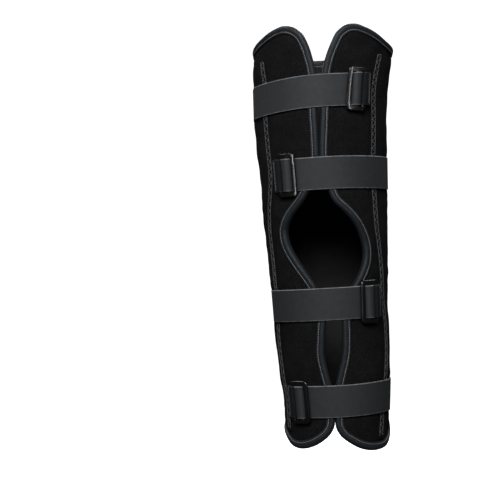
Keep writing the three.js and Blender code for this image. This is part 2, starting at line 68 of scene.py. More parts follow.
camera_data = bpy.data.cameras.new("camera")
camera_data.lens = CAMERA_LENS
camera_data.sensor_width = 36
camera = bpy.data.objects.new("camera", camera_data)
camera.location = CAMERA_PLACE
camera.rotation_euler = (math.pi / 2, CAMERA_ROLL, 0)
bpy.context.scene.collection.objects.link(camera)
bpy.context.scene.camera = camera
print("camera: a", CAMERA_LENS, "mm lens", round(-CAMERA_PLACE[1], 3), "m in front of the knee")

# %% [markdown]
# Most pieces of the frame are lofts: the same few corners repeated along a path.
# If the sections can be read back from the mesh, a finer piece can follow
# exactly the same path. In such a mesh six edges meet at every inner corner, so
# going straight on at each corner leads round one section and back to the start.

# %% Find one section of a loft
def opposite_edge(corner, edge):
    """The edge that goes straight on from an edge, at a corner where six meet."""
    face = edge.link_faces[0]
    for _ in range(3):
        edge = next(e for e in face.edges if e is not edge and corner in e.verts)
        face = next(f for f in edge.link_faces if f is not face)
    return edge


def ring_of(mesh, size):
    """Corners of one whole section, found by going straight on until the walk closes."""
    for start in mesh.verts:
        for edge in start.link_edges:
            ring, corner = [start], edge.other_vert(start)
            while corner is not start and len(ring) < size and len(corner.link_edges) == 6:
                ring.append(corner)
                edge = opposite_edge(corner, edge)
                corner = edge.other_vert(corner)
            if corner is start and len(ring) == size and len(start.link_edges) == 6:
                return ring
    raise ValueError("no closed section found")


# %% [markdown]
# From one section the others follow. Each corner touches two corners of
# the next section, its own and the one that the triangle's diagonal leads
# to. Two ways of pairing them are possible, and the shorter one is right.

# %% Read all the sections of a loft
def next_ring(ring, used):
    """The section beyond a ring, in the same order, or None at the end of the loft."""
    ahead = [{e.other_vert(c) for e in c.link_edges} - used for c in ring]
    choices = []
    for shift in (-1, 1):
        shared = [ahead[i] & ahead[(i + shift) % len(ring)] for i in range(len(ring))]
        if all(len(s) == 1 for s in shared):
            choices.append([s.pop() for s in shared])
    if not choices:
        return None
    return min(choices, key=lambda found: sum((a.co - b.co).length for a, b in zip(ring, found)))


def rings_beyond(ring, held):
    """All the sections on one side of a ring. The corners that are held are on its other side."""
    used, found = set(ring) | held, []
    here = next_ring(ring, used)
    while here:
        found.append(here)
        used |= set(here)
        here = next_ring(here, used)
    return found


def sections_of(node, size):
    """The loft's sections, as sections by corners by coordinates, in the same order in every run."""
    mesh = bmesh.new()
    mesh.from_mesh(nodes[node].data)
    bmesh.ops.remove_doubles(mesh, verts=mesh.verts, dist=1e-6)
    ring = ring_of(mesh, size)
    beside = {e.other_vert(c) for c in ring for e in c.link_edges} - set(ring)
    side, grown = {min(beside, key=lambda corner: corner.co[:])}, 0
    while grown != len(side):
        grown = len(side)
        side |= {e.other_vert(c) for c in side for e in c.link_edges} & beside
    forward, backward = rings_beyond(ring, beside - side), rings_beyond(ring, side)
    if len(forward) == len(backward) == len(mesh.verts) // size - 2:
        rings = [ring] + forward
        rings.append(next_ring(rings[-1], set().union(*map(set, rings))))
    else:
        rings = backward[::-1] + [ring] + forward
    places = np.array([[c.co[:] for c in r] for r in rings])
    mesh.free()
    return places


# %% [markdown]
# The frame's sections lie 8 to 18 mm apart and are joined by straight
# lines. Cloth has no such corners, so the path between them is a smooth
# curve, a cubic whose slope at each section comes from its two neighbours.

# %% Smooth paths
def unit(vectors):
    return vectors / np.linalg.norm(vectors, axis=-1, keepdims=True)


def smooth_path(values, step, looped=False):
    """Rows of numbers at even steps along smooth curves through the given rows, and their distances."""
    rows = np.concatenate([values[-1:], values, values[:2]]) if looped else values
    centres = rows.reshape(len(rows), -1, 3).mean(axis=1)
    knots = np.concatenate([[0], np.cumsum(np.linalg.norm(np.diff(centres, axis=0), axis=1))])
    spans = np.diff(knots)
    flat = rows.reshape(len(rows), -1)
    slopes = np.diff(flat, axis=0) / spans[:, None]
    share = (spans[:-1] / (spans[:-1] + spans[1:]))[:, None]
    inner = slopes[:-1] * (1 - share) + slopes[1:] * share
    tangents = np.concatenate([slopes[:1], inner, slopes[-1:]])
    start, end = (knots[1], knots[-2]) if looped else (0, knots[-1])
    count = max(round((end - start) / step), 2)
    at = np.linspace(start, end, count + 1)
    if looped:
        at = at[:-1]
    k = np.clip(np.searchsorted(knots, at, side="right") - 1, 0, len(spans) - 1)
    h = spans[k][:, None]
    t = ((at - knots[k]) / spans[k])[:, None]
    smooth = (
        flat[k] * (1 + 2 * t) * (1 - t) ** 2
        + flat[k + 1] * (3 - 2 * t) * t**2
        + tangents[k] * h * t * (1 - t) ** 2
        - tangents[k + 1] * h * (1 - t) * t**2
    )
    return smooth.reshape((len(at),) + values.shape[1:]), at - start


# %% [markdown]
# A tape, a strap or a channel is then one small profile swept along such a path. The mesh is made in
# code because it is cloth: its rows and columns follow the threads, and so does its UV map, which
# counts real metres along the piece and across it. Weave and seams in the materials read that map.

# %% Sweep a profile
def new_piece(name, verts, faces):
    mesh = bpy.data.meshes.new(name)
    mesh.from_pydata(np.asarray(verts).tolist(), [], faces)
    mesh.validate()
    piece = bpy.data.objects.new(name, mesh)
    bpy.context.scene.collection.objects.link(piece)
    return piece


def face_outwards(piece):
    """Point all faces out of the closed piece and shade it smooth."""
    mesh = bmesh.new()
    mesh.from_mesh(piece.data)
    bmesh.ops.recalc_face_normals(mesh, faces=mesh.faces)
    if mesh.calc_volume(signed=True) < 0:
        bmesh.ops.reverse_faces(mesh, faces=mesh.faces)
    for face in mesh.faces:
        face.smooth = True
    mesh.to_mesh(piece.data)
    mesh.free()


def sweep(name, rows, along, across, looped=False):
    """A closed piece through rows of points, with the UV of each row and of each column."""
    count, size = rows.shape[:2]
    joins = count if looped else count - 1
    corners = [
        (s, p, (s + 1) % count, (p + 1) % size) for s in range(joins) for p in range(size)
    ]
    faces = [(s * size + p, s * size + q, n * size + q, n * size + p) for s, p, n, q in corners]
    if not looped:
        faces.append(tuple(range(size - 1, -1, -1)))
        faces.append(tuple((count - 1) * size + p for p in range(size)))
    piece = new_piece(name, rows.reshape(-1, 3), faces)
    end = along[-1] + (along[1] - along[0])
    uv = piece.data.uv_layers.new(name="cloth").data
    spot = 0
    for s, p, n, q in corners:
        u, v = along[s], end if n == 0 else along[n]
        for place in ((u, across[p]), (u, across[q]), (v, across[q]), (v, across[p])):
            uv[spot].uv = place
            spot += 1
    face_outwards(piece)
    return piece


# %% [markdown]
# ## Edge binding
#
# Knitted tape is folded over the raw edge of the laminate and sewn through both layers. It is soft:
# it puffs up between its fold and the seam, and dips where the thread pulls it down. The profile
# below has a distance in from the bound edge and a distance out from the wrap for each point of the
# outer leg, in millimetres, and the inner leg mirrors it across the middle of the wall.

# %% Edge binding
WALL = 6
TAPE_STEP = 2.2 * MM
TAPE_CORNERS = 10
TAPE_SEAM = 7.3
TAPE_LEG = [
    (9.3, 0.1),
    (9.6, 0.5),
    (9.4, 0.95),
    (8.8, 1.15),
    (8.1, 1.08),
    (TAPE_SEAM, 0.85),
    (6.6, 1.2),
    (5.5, 1.7),
    (4.1, 1.95),
    (2.7, 1.85),
    (1.5, 1.4),
    (0.6, 0.55),
    (0.0, -0.6),
    (-0.3, -1.8),
]
FRAME_CORNER_IN, FRAME_CORNER_OUT = 1, 0.35


def binding_frame():
    """The corners of the tape's section at even steps round the wrap's edge, and the distances."""
    places = sections_of("edge_binding", TAPE_CORNERS)
    radius = np.hypot(places[..., 0], places[..., 1]).mean(axis=0)
    first = next(
        p for p in range(TAPE_CORNERS)
        if {p, (p + 1) % TAPE_CORNERS} == set(np.argsort(radius)[-2:].tolist())
    )
    places = np.roll(places, -first, axis=1)
    ends = np.linalg.norm(places[:, 0] - places[:, 9], axis=1).mean()
    bends = np.linalg.norm(places[:, 1] - places[:, 2], axis=1).mean()
    if ends > bends:
        places = np.roll(places[:, ::-1], 2, axis=1)
    return smooth_path(places, TAPE_STEP, looped=True)


def on_tape(places, inward, out):
    """The place at a distance in from the edge and out from the wrap, in millimetres, at each step."""
    outer, inner = places[:, 8], places[:, 7]
    ways = [unit(places[:, 9] - outer), unit(places[:, 6] - inner)]
    share = (out - FRAME_CORNER_OUT) / -(WALL + 2 * FRAME_CORNER_OUT)
    way = ways[0] * (1 - share) + ways[1] * share
    return outer + (inner - outer) * share + way * (inward - FRAME_CORNER_IN) * MM


tape_places, tape_along = binding_frame()
outer_leg = TAPE_LEG
inner_leg = [(inward, -WALL - out) for inward, out in reversed(TAPE_LEG)]
inside = [(8.6, -WALL - 0.1), (1.3, -WALL - 0.1), (1.3, 0.1), (8.6, 0.1)]
tape_profile = outer_leg + [(-0.4, -WALL / 2)] + inner_leg + inside
tape_rows = np.stack([on_tape(tape_places, i, o) for i, o in tape_profile], axis=1)
edge_binding = sweep(
    "binding_tape", tape_rows, tape_along, [i * MM for i, _ in tape_profile], looped=True
)
print("binding:", len(tape_along), "steps,", round(tape_along[-1], 3), "m of tape")

# %% [markdown]
# ## Wrap
#
# The body of the brace is foam a few millimetres thick between loop pile and a smooth lining. A copy of
# the frame's wrap gives its exact form. Its triangles are paired back into quads, because subdivision
# and cloth both follow the quads' rows, and one level of subdivision rounds the facets off.

# %% Wrap, copied from its node
def apply_modifiers(piece):
    """Apply each modifier of a piece, with nothing else selected."""
    for other in bpy.context.selected_objects:
        other.select_set(False)
    bpy.context.view_layer.objects.active = piece
    piece.select_set(True)
    for modifier in list(piece.modifiers):
        bpy.ops.object.modifier_apply(modifier=modifier.name)
    piece.select_set(False)


def subdivide(piece, levels):
    smooth = piece.modifiers.new("subdivide", "SUBSURF")
    smooth.levels = smooth.render_levels = levels
    apply_modifiers(piece)


def quad_copy(node, name):
    """A copy of a node's mesh with its corners merged and its triangles paired."""
    mesh = bmesh.new()
    mesh.from_mesh(nodes[node].data)
    bmesh.ops.remove_doubles(mesh, verts=mesh.verts, dist=1e-6)
    pairing = {"angle_face_threshold": math.radians(50), "angle_shape_threshold": math.radians(100)}
    bmesh.ops.join_triangles(mesh, faces=mesh.faces, **pairing)
    odd = sum(len(face.verts) == 3 for face in mesh.faces)
    print(node, "has", len(mesh.faces), "faces after pairing,", odd, "of them triangles")
    data = bpy.data.meshes.new(name)
    mesh.to_mesh(data)
    mesh.free()
    piece = bpy.data.objects.new(name, data)
    bpy.context.scene.collection.objects.link(piece)
    return piece


padded_wrap = quad_copy("wrap", "padded_wrap")
subdivide(padded_wrap, 1)

# %% [markdown]
# Sewing holds the padding down: along the binding, along the two stay channels and,
# as pressure instead of thread, under the straps and rings. Between them the foam
# swells. How far a point is from the nearest of these lines decides how freely it
# may move, so the distances are measured once and kept for every later step.

# %% Distances to the seams
def tree_of(points):
    tree = kdtree.KDTree(len(points))
    for i, point in enumerate(points):
        tree.insert(point, i)
    tree.balance()
    return tree


def read(mesh, trait):
    """The place or the normal of each corner of a mesh, as rows of three numbers."""
    flat = np.zeros(len(mesh.vertices) * 3, np.float32)
    mesh.vertices.foreach_get(trait, flat)
    return flat.reshape(-1, 3).astype(float)


def store(piece, places):
    piece.data.vertices.foreach_set("co", places.astype(np.float32).ravel())
    piece.data.update()


def nearest(tree, places):
    """Index of the nearest point of a tree and its distance in millimetres, for each place."""
    found = [tree.find(place)[1:] for place in places]
    return np.array([i for i, _ in found]), np.array([d for _, d in found]) / MM


def ramp(values, low, high):
    """Smooth rise from 0 at low to 1 at high."""
    t = np.clip((values - low) / (high - low), 0, 1)
    return t * t * (3 - 2 * t)


STRAPS = range(1, 5)
STRAP_WIDTH = 38
edge_line = on_tape(tape_places, 0, -WALL / 2)
edge_tree = tree_of(edge_line)
channel_sections = {side: sections_of(f"stay_channel_{side}", 4) for side in ("left", "right")}
channel_lines = {side: smooth_path(s, TAPE_STEP)[0] for side, s in channel_sections.items()}
channel_tree = tree_of(np.concatenate([line.mean(axis=1) for line in channel_lines.values()]))


def strap_height(number):
    low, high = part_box(f"tab_{number}")
    return (low.z + high.z) / 2


# %% [markdown]
# A strap's loft has four corners to a section. Which of them are the upper ones shows
# in their heights, and the outer ones lie further from the brace's axis. From them
# come the middle of the webbing, the way up to its edge and the way out from its face.

# %% Paths of the straps and tabs
def ribbon_path(node, step):
    """Middle, half width upwards, unit way outwards and distance of each step along a strap or tab."""
    places = sections_of(node, 4)
    if places[0, :, 1].mean() < places[-1, :, 1].mean():
        places = places[::-1]
    heights = places[..., 2].mean(axis=0)
    radius = np.hypot(places[..., 0], places[..., 1]).mean(axis=0)
    upper = max(np.argsort(heights)[-2:], key=lambda p: radius[p])
    lower = max(np.argsort(heights)[:2], key=lambda p: radius[p])
    others = [p for p in range(4) if p not in (upper, lower)]
    rows, along = smooth_path(places, step)
    middle = rows.mean(axis=1)
    up = rows[:, upper] - rows[:, lower]
    out = rows[:, [upper, lower]].mean(axis=1) - rows[:, others].mean(axis=1)
    forward = np.gradient(middle, axis=0)
    square = unit(np.cross(forward, up))
    square *= np.sign(np.sum(square * out, axis=1, keepdims=True))
    return middle, up / 2, square, along


STRAP_STEP = 1.5 * MM
strap_paths = {number: ribbon_path(f"strap_{number}", STRAP_STEP) for number in STRAPS}
for number, (middle, up, out, along) in strap_paths.items():
    print("strap", number, "is", round(along[-1], 3), "m long")

# %% [markdown]
# The padding is swollen by a short cloth simulation: the shell is blown up a little with no
# gravity, while the vertex group called held keeps the seams where they are and, as foam does, ties
# every other point loosely to its place. Foam can't swell like a balloon, so how far each point may
# move is capped afterwards with a tanh curve, which keeps the simulation's slopes near the seams.

# %% Swell the wrap
SWELL = 1.3
SWELL_FRAMES = 14
FOAM_TIE = 0.25
TAPE_HOLDS = (9.5, 17)
CHANNEL_HOLDS = (5.5, 11)
STRAP_HOLDS = (9, 16)
RIBBON_REACH, RING_REACH, REACH_FADES = 17, 25, 6
base = read(padded_wrap.data, "co")
wrap_out = read(padded_wrap.data, "normal")
axis_out = np.stack([base[:, 0], base[:, 1], np.zeros(len(base))], axis=1)
outer_side = np.sum(wrap_out * axis_out, axis=1) > 0
edge_index, edge_mm = nearest(edge_tree, base)
_, channel_mm = nearest(channel_tree, base)
from_tape = ramp(edge_mm, *TAPE_HOLDS)
from_channel = np.where(outer_side, ramp(channel_mm, *CHANNEL_HOLDS), 1)
from_strap = np.ones(len(base))
for number in STRAPS:
    ribbons = [strap_paths[number][0], ribbon_path(f"tab_{number}", STRAP_STEP)[0]]
    corners = np.array([corner.co[:] for corner in nodes[f"ring_{number}"].data.vertices])
    height_mm = np.abs(base[:, 2] - strap_height(number)) / MM
    for places, reach in ((np.concatenate(ribbons), RIBBON_REACH), (corners, RING_REACH)):
        _, aside_mm = nearest(tree_of(places * [1, 1, 0]), base * [1, 1, 0])
        pressed = 1 - ramp(aside_mm, *STRAP_HOLDS)
        pressed *= 1 - ramp(height_mm, reach, reach + REACH_FADES)
        from_strap = np.minimum(from_strap, np.where(outer_side, 1 - pressed, 1))
free = from_tape * from_channel * from_strap


def swell(piece, rest, out, free, cap):
    """How far the piece swells out from rest where it is free, in millimetres and never past the cap."""
    held = piece.vertex_groups.new(name="held")
    for index, share in enumerate(free):
        held.add([index], float(max(1 - share, FOAM_TIE)), "REPLACE")
    cloth = piece.modifiers.new("swell", "CLOTH")
    cloth.settings.quality = 4
    cloth.settings.mass = 0.25
    cloth.settings.tension_stiffness = cloth.settings.compression_stiffness = 12
    cloth.settings.bending_stiffness = 0.4
    cloth.settings.shrink_min = -0.03
    cloth.settings.use_pressure = True
    cloth.settings.uniform_pressure_force = 4
    cloth.settings.vertex_group_mass = "held"
    cloth.settings.effector_weights.gravity = 0
    cloth.point_cache.frame_start = 1
    cloth.point_cache.frame_end = SWELL_FRAMES
    scene = bpy.context.scene
    for number in range(1, SWELL_FRAMES + 1):
        scene.frame_set(number)
    posed = piece.evaluated_get(bpy.context.evaluated_depsgraph_get()).to_mesh()
    moved = np.sum((read(posed, "co") - rest) * out, axis=1) / MM
    piece.modifiers.remove(cloth)
    piece.vertex_groups.remove(held)
    scene.frame_set(1)
    print("the cloth moved by", np.round(np.percentile(moved, [1, 50, 99]), 2), "mm")
    return cap * np.tanh(np.maximum(moved, 0) / cap)


swollen = swell(padded_wrap, base, wrap_out, free, SWELL)

# %% [markdown]
# On top of that come the small things that a simulation this short doesn't give: puckers along the
# binding's seam, where the tape has gathered the fabric a little, a slight valley on each side of
# the channels and slow waves over the whole body, because a worn brace is never quite even.

# %% Puckers and waves
CROWN = 0.45
PUCKER, PUCKER_PITCH, PUCKER_DRIFT = 0.4, 13, 0.6
PUCKER_FROM, PUCKER_FADES = 12, 7
WAVE, WAVE_SIZE = 0.3, 42 * MM
VALLEY, VALLEY_AT, VALLEY_WIDTH = 0.5, 6, 2.5


def wave_at(place, size):
    return noise.noise(Vector(place) / size)


place_along = tape_along[edge_index] / MM
uneven = np.array([wave_at((a * MM, 0, 0), 25 * MM) for a in place_along])
gather = np.sin(2 * math.pi * (place_along / PUCKER_PITCH + PUCKER_DRIFT * uneven))
near_tape = from_tape * np.exp(-np.maximum(edge_mm - PUCKER_FROM, 0) / PUCKER_FADES)
waves = np.array([wave_at(place, WAVE_SIZE) for place in base])
valley = np.exp(-(((channel_mm - VALLEY_AT) / VALLEY_WIDTH) ** 2)) * outer_side
lift = swollen + CROWN * free * outer_side + WAVE * waves * free
lift += PUCKER * gather * near_tape - VALLEY * valley * from_tape
store(padded_wrap, base + wrap_out * lift[:, None] * MM)
subdivide(padded_wrap, 1)
print("wrap:", len(padded_wrap.data.polygons), "faces")

# %% [markdown]
# ## Stay channels
#
# Each channel is a welt: a folded strip of the same laminate, sewn down along both
# edges over the stay. It is highest in the middle and pinched along its two seams.

# %% Stay channels
CHANNEL_HALF = 4.7
CHANNEL_SEAM = 3.3
CHANNEL_PROFILE = [
    (-CHANNEL_HALF, -0.3),
    (-4.65, 0.3),
    (-4.2, 0.75),
    (-CHANNEL_SEAM, 0.62),
    (-2.6, 0.92),
    (-1.4, 1.2),
    (0, 1.3),
    (1.4, 1.2),
    (2.6, 0.92),
    (CHANNEL_SEAM, 0.62),
    (4.2, 0.75),
    (4.65, 0.3),
    (CHANNEL_HALF, -0.3),
]
CHANNEL_TIP = 6


def channel_path(side):
    """Middle on the wrap's face, unit way across and way out along a stay channel, and the distances."""
    rows, along = smooth_path(channel_sections[side], TAPE_STEP)
    if rows[0, :, 2].mean() < rows[-1, :, 2].mean():
        rows = rows[::-1]
    radius = np.hypot(rows[..., 0], rows[..., 1]).mean(axis=0)
    low = np.sort(np.argsort(radius)[:2])
    across = unit(rows[:, low[1]] - rows[:, low[0]])
    forward = np.gradient(rows.mean(axis=1), axis=0)
    out = unit(np.cross(forward, across))
    middle = rows[:, low].mean(axis=1)
    out *= np.sign(np.sum(out * middle * [1, 1, 0], axis=1, keepdims=True))
    return middle - out * FRAME_CORNER_OUT * MM, across, out, along


def on_path(path, aside, rise, taper=1.0):
    """The place aside of a path and out from it, in millimetres, at each step."""
    middle, across, out, _ = path
    narrow = np.reshape(taper, (-1, 1)) * aside
    return middle + across * narrow * MM + out * rise * MM


channels = {}
channel_paths = {side: channel_path(side) for side in channel_lines}
for side, path in channel_paths.items():
    tip = np.clip(1 - path[3] / MM / CHANNEL_TIP, 0, 0.97)
    taper = np.sqrt(1 - tip**2)
    rows = np.stack([on_path(path, a, r, taper) for a, r in CHANNEL_PROFILE], axis=1)
    channels[side] = sweep(
        f"stay_channel_welt_{side}", rows, path[3], [a * MM for a, _ in CHANNEL_PROFILE]
    )
    print(side, "channel:", round(path[3][-1], 3), "m long")

# %% [markdown]
# ## Straps
#
# Each strap is 38 mm webbing with a brushed face. Its two selvedges are woven tighter, so they
# stand up as thin cords along the edges. The strap follows its frame through the ring, and
# wavers a little on the way. Between the back and the stay channels a tight strap sinks into
# the padding until it lies flush, so there its path is laid down on the wrap's finished face.

# %% Lay the straps down at the sides
SIDE_FROM, SIDE_FULL = 72, 86
STRAP_GAP = 0.75
SETTLE_STEPS = 9
wrap_corners = [tuple(face.vertices) for face in padded_wrap.data.polygons]
wrap_face = BVHTree.FromPolygons(read(padded_wrap.data, "co").tolist(), wrap_corners)


def lie_down(path):
    """The path with its middle let down onto the wrap where it goes round the leg's sides and back."""
    middle, up, out, along = path
    below = np.array([wrap_face.find_nearest(place)[0][:] for place in middle])
    gap = np.sum((middle - below) * out, axis=1) / MM
    turn = np.degrees(np.abs(np.arctan2(middle[:, 0], -middle[:, 1])))
    drop = (gap - STRAP_GAP) * ramp(turn, SIDE_FROM, SIDE_FULL)
    padded = np.pad(drop, SETTLE_STEPS // 2, mode="edge")
    even = np.convolve(padded, np.full(SETTLE_STEPS, 1 / SETTLE_STEPS), mode="valid")
    print("the strap is let down by", round(even.min(), 2), "to", round(even.max(), 2), "mm")
    return middle - out * even[:, None] * MM, up, out, along


# %% [markdown]
# The section of the webbing is worked out, not listed: its points crowd towards the edges, where the
# cord of the selvedge rises, and its back mirrors its face. Two slow noises move the path aside and
# outwards by a fraction of a millimetre, because a strap as straight as a ruler looks like plastic.

# %% Webbing profile and straps
CORD_IN, CORD_WIDTH, EDGE_ROUND = 0.75, 0.55, 0.6
SWAY_SIZE, SWING_SIZE = 60 * MM, 35 * MM
STRAP_THICK, STRAP_CORD = 1.25, 0.78
STRAP_WAVER = (0.35, 0.1)


def webbing_profile(width, thick, cord, columns):
    """Points across one face and back along the other, with a cord along each edge, in millimetres."""
    half = width / 2
    turns = np.linspace(-math.pi / 2, math.pi / 2, columns)
    across = half * np.sin(turns)
    edge = half - np.abs(across)
    rise = thick / 2 + (cord - thick / 2) * np.exp(-(((edge - CORD_IN) / CORD_WIDTH) ** 2))
    rise = rise * np.sqrt(np.clip(edge / EDGE_ROUND, 0, 1))
    face = list(zip(across, rise))
    return face + [(a, -r) for a, r in reversed(face[1:-1])]


def webbing(name, path, profile, waver):
    """Webbing swept along a path. waver is how far it strays in its plane and out of it, in mm."""
    middle, up, out, along = path
    across = unit(up)
    sway = np.array([wave_at((s, 0.3, len(name)), SWAY_SIZE) for s in along])[:, None]
    swing = np.array([wave_at((s, 0.7, len(name)), SWING_SIZE) for s in along])[:, None]
    settled = middle + across * sway * waver[0] * MM + out * swing * waver[1] * MM
    moved = (settled, across, out, along)
    rows = np.stack([on_path(moved, a, r) for a, r in profile], axis=1)
    return sweep(name, rows, along, [a * MM for a, _ in profile]), moved


strap_profile = webbing_profile(STRAP_WIDTH, STRAP_THICK, STRAP_CORD, 29)
straps, strap_moved = {}, {}
for number in STRAPS:
    straps[number], strap_moved[number] = webbing(
        f"webbing_strap_{number}", lie_down(strap_paths[number]), strap_profile, STRAP_WAVER
    )

# %% [markdown]
# A tab is a short loop of webbing, folded round the ring's inner bar and
# sewn flat. A strip could be bent with a modifier, but the frame already
# holds the fold's path, so the tab is swept like a strap, in shorter steps.

# %% Tabs
TAB_STEP = 0.8 * MM
TAB_THICK, TAB_CORD = 1.3, 0.72
tab_profile = webbing_profile(STRAP_WIDTH, TAB_THICK, TAB_CORD, 25)
tabs, tab_paths = {}, {}
for number in STRAPS:
    tabs[number], tab_paths[number] = webbing(
        f"ring_tab_{number}", ribbon_path(f"tab_{number}", TAB_STEP), tab_profile, (0, 0)
    )
    print("tab", number, "is", round(tab_paths[number][3][-1] / MM, 1), "mm long")

# %% [markdown]
# ## Slider rings
#
# The rings are moulded plastic: a rounded rectangle with a narrow window for the strap and another for
# the tab. One ring is modelled flat with Blender's own tools: a cube is cut where its bars begin and
# end, the faces of each window are bridged from front to back, and its corners and edges are rounded.

# %% One flat ring
RING_LENGTH, RING_HEIGHT, RING_THICK = 25.25, 50, 2.8
BARS_END = (5.5, 9, 16.5, 21.25)
WINDOW_HALF = 20
RING_CORNER = 4.8
RING_ROUND = 1.35


def select_faces(piece, wanted):
    """Select the faces of the mesh in edit mode whose middle is wanted, and nothing else."""
    mesh = bmesh.from_edit_mesh(piece.data)
    for part in (*mesh.verts, *mesh.edges, *mesh.faces):
        part.select = False
    for face in mesh.faces:
        if wanted(face.calc_center_median() / MM, face.normal):
            face.select_set(True)
    bmesh.update_edit_mesh(piece.data)


def select_edges(piece, wanted):
    """Select the edges of the mesh in edit mode whose two ends are wanted, and nothing else."""
    mesh = bmesh.from_edit_mesh(piece.data)
    for part in (*mesh.verts, *mesh.edges, *mesh.faces):
        part.select = False
    for edge in mesh.edges:
        if wanted(*(corner.co / MM for corner in edge.verts)):
            edge.select_set(True)
    bmesh.update_edit_mesh(piece.data)


def at_corner(a, b):
    upright = abs(a.z - b.z) > RING_THICK / 2
    return upright and abs(abs(a.y) - RING_HEIGHT / 2) < 0.01 and min(a.x, RING_LENGTH - a.x) < 0.01


bpy.ops.object.select_all(action="DESELECT")
bpy.ops.mesh.primitive_cube_add(size=1, location=(RING_LENGTH / 2 * MM, 0, 0))
flat_ring = bpy.context.object
flat_ring.scale = (RING_LENGTH * MM, RING_HEIGHT * MM, RING_THICK * MM)
bpy.ops.object.transform_apply(location=True, rotation=False, scale=True)
bpy.ops.object.mode_set(mode="EDIT")
cuts = [((x * MM, 0, 0), (1, 0, 0)) for x in BARS_END]
cuts += [((0, share * WINDOW_HALF * MM, 0), (0, 1, 0)) for share in (-1, -0.5, 0, 0.5, 1)]
for place, normal in cuts:
    bpy.ops.mesh.select_all(action="SELECT")
    bpy.ops.mesh.bisect(plane_co=place, plane_no=normal)
for start, end in (BARS_END[0:2], BARS_END[2:4]):
    select_faces(
        flat_ring,
        lambda c, n: start < c.x < end and abs(c.y) < WINDOW_HALF and abs(n.z) > 0.5,
    )
    bpy.ops.mesh.bridge_edge_loops()
select_edges(flat_ring, at_corner)
bpy.ops.mesh.bevel(offset=RING_CORNER * MM, segments=6, affect="EDGES")
bpy.ops.object.mode_set(mode="OBJECT")
rounding = flat_ring.modifiers.new("round", "BEVEL")
rounding.width = RING_ROUND * MM
rounding.segments = 4
rounding.limit_method = "ANGLE"
rounding.angle_limit = math.radians(50)
apply_modifiers(flat_ring)
print("flat ring:", len(flat_ring.data.polygons), "faces")

# %% [markdown]
# Each frame ring is a little bent round the leg. A plane and a shallow
# arch are fitted to its corners, and the flat ring is laid on that arch.

# %% Lay the ring on each place
def ring_arch(number):
    """Centre, way along, up and out, and the arch's three coefficients, fitted to a frame ring."""
    places = np.array([v.co[:] for v in nodes[f"ring_{number}"].data.vertices])
    low, high = (np.array(corner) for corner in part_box(f"tab_{number}"))
    centre = places.mean(axis=0)
    _, _, axes = np.linalg.svd(places - centre, full_matrices=False)
    up, along, out = axes
    up = up * np.sign(up[2])
    along = along * np.sign(np.dot(along, (low + high) / 2 - centre))
    out = out * np.sign(np.dot(out, centre * [1, 1, 0]))
    spots = (places - centre) @ np.stack([along, up, out]).T
    middle = (spots.min(axis=0) + spots.max(axis=0)) / 2
    centre = centre + along * middle[0] + up * middle[1]
    spots = (places - centre) @ np.stack([along, up, out]).T
    arch = np.polyfit(spots[:, 0], spots[:, 2], 2)
    return centre, along, up, out, arch


rings = {}
for number in STRAPS:
    centre, along, up, out, arch = ring_arch(number)
    ring = flat_ring.copy()
    ring.data = flat_ring.data.copy()
    ring.name = f"slider_ring_{number}"
    bpy.context.scene.collection.objects.link(ring)
    spots = read(ring.data, "co")
    aside = spots[:, 0] - RING_LENGTH / 2 * MM
    bent = spots[:, 2] + np.polyval(arch, aside)
    store(ring, centre + np.outer(aside, along) + np.outer(spots[:, 1], up) + np.outer(bent, out))
    face_outwards(ring)
    rings[number] = ring
    print("ring", number, "is bent by", round(np.ptp(np.polyval(arch, aside)) / MM, 2), "mm")
bpy.data.objects.remove(flat_ring)

# %% [markdown]
# ## Thread
#
# Every seam shows its thread as a row of short stitches, a shade lighter than the cloth. One
# stitch is modelled: a thin rod whose ends are drawn in. Copies of it are laid along each
# seam and joined in one mesh a seam, because thousands of separate objects would be slow.

# %% One stitch
THREAD = 0.7
STITCH = 2.6
STITCH_CUT = 0.36 * STITCH * MM
STITCH_END = 0.4

bpy.ops.object.select_all(action="DESELECT")
bpy.ops.mesh.primitive_cylinder_add(vertices=6, radius=THREAD / 2 * MM, depth=STITCH * MM)
one_stitch = bpy.context.object
bpy.ops.object.mode_set(mode="EDIT")
for place in (-STITCH_CUT, STITCH_CUT):
    bpy.ops.mesh.select_all(action="SELECT")
    bpy.ops.mesh.bisect(plane_co=(0, 0, place), plane_no=(0, 0, 1))
select_faces(one_stitch, lambda c, n: abs(n.z) > 0.9)
bpy.ops.transform.resize(value=(STITCH_END, STITCH_END, 1))
bpy.ops.object.mode_set(mode="OBJECT")
stitch_points = read(one_stitch.data, "co")
stitch_faces = [tuple(face.vertices) for face in one_stitch.data.polygons]
bpy.data.objects.remove(one_stitch)
print("one stitch has", len(stitch_faces), "faces")

# %% [markdown]
# A seam is a line on a piece, with the way out of the cloth at each of
# its points. The middle, the direction and the upper side of every stitch
# follow from it. A zigzag steps across several such lines at once.

# %% Seams
STITCH_PITCH = 3.0


def stations(line, pitch):
    """Distances of a line's points and of the stitches on it, a pitch apart, in millimetres."""
    steps = np.linalg.norm(np.diff(line, axis=0), axis=1) / MM
    at = np.concatenate([[0], np.cumsum(steps)])
    count = max(round(at[-1] / pitch), 1)
    return at, (np.arange(count) + 0.5) * at[-1] / count


def pick(spots, at, rows):
    """The rows' values at some distances, read between the distances of the rows."""
    return np.stack([np.interp(spots, at, column) for column in rows.T], axis=1)


def seam(line, out, pitch=STITCH_PITCH, looped=False):
    """Middle, way along and way out of each stitch on a line of points with ways out."""
    if looped:
        line, out = np.vstack([line, line[:1]]), np.vstack([out, out[:1]])
    at, spots = stations(line, pitch)
    along = pick(spots + 0.5, at, line) - pick(spots - 0.5, at, line)
    return pick(spots, at, line), unit(along), unit(pick(spots, at, out))


